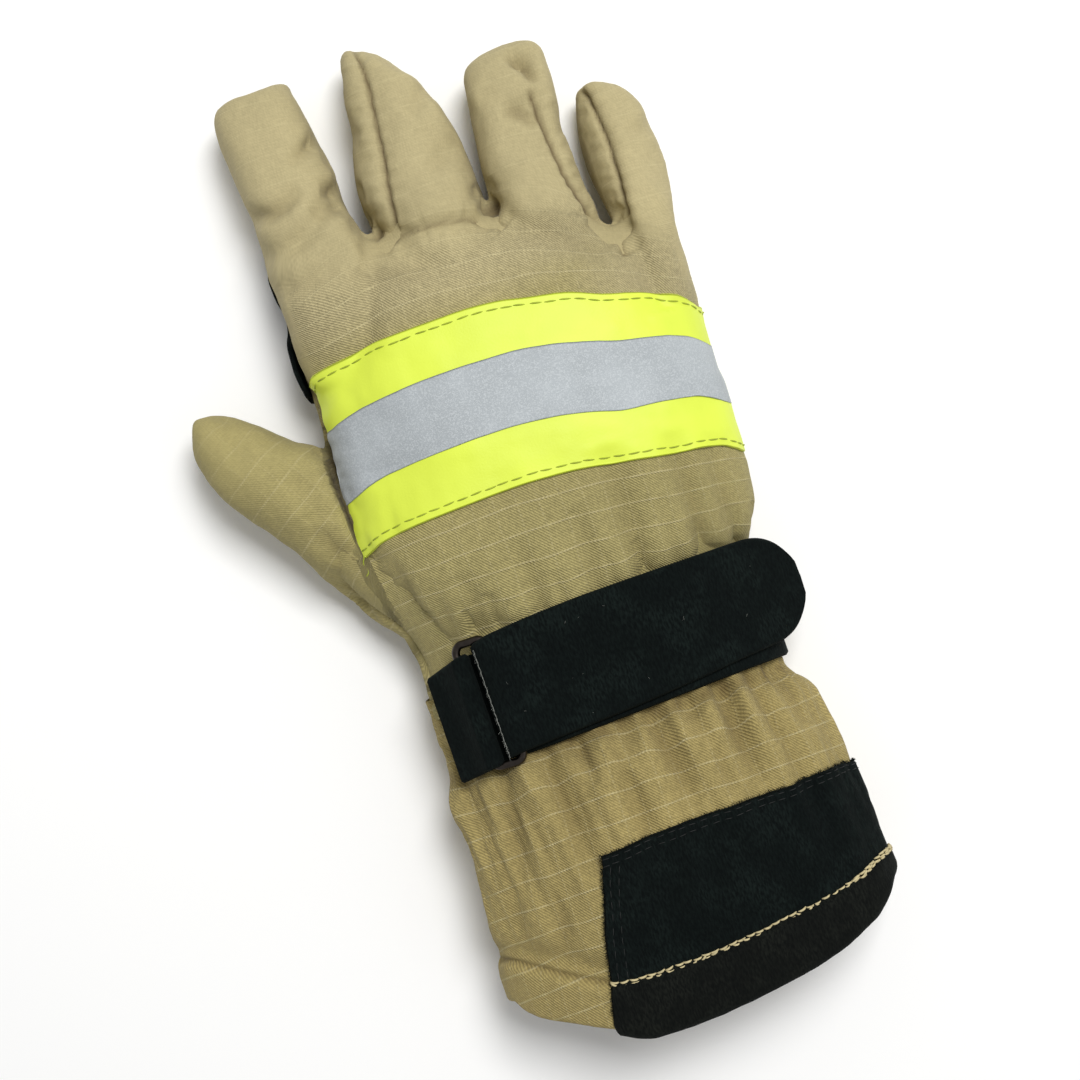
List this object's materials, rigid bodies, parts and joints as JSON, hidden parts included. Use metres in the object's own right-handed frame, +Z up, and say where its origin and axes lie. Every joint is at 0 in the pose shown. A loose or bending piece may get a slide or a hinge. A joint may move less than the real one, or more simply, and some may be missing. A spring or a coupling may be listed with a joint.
{
  "type": "firefighter glove",
  "caption": "Padded right-hand firefighter glove of ripstop cloth with a gathered wrist, suede strap and patches, a reflective tape and an open gauntlet cuff.",
  "frame": {"origin": "middle of the glove's footprint, on the surface it rests on", "axes": "+X from the thumb's side to the little finger's, +Y from the cuff to the fingertips, +Z up, out of the back of the hand"},
  "size_m": [0.1602, 0.2972, 0.0533],
  "materials": {
    "aramid_cloth": "woven ripstop, matt",
    "suede": "napped suede, matt",
    "fluorescent_tape": "fluorescent woven tape",
    "reflective_strip": "glass-bead reflective",
    "dark_steel": "dark nickel plate"
  },
  "bodies": {
    "root": {"back_panel": "aramid_cloth", "palm_panel": "aramid_cloth", "fourchette_index_middle": "aramid_cloth", "fourchette_middle_ring": "aramid_cloth", "fourchette_ring_little": "aramid_cloth", "thumb_shell": "aramid_cloth", "cuff_shell": "aramid_cloth", "cuff_hem": "aramid_cloth", "palm_patch": "suede", "cuff_patch": "suede", "hem_patch": "suede", "strap_anchor": "suede", "wrist_strap": "suede", "tape_backing": "fluorescent_tape", "tape_strip": "reflective_strip", "strap_ring": "dark_steel"}
  },
  "joints": []
}
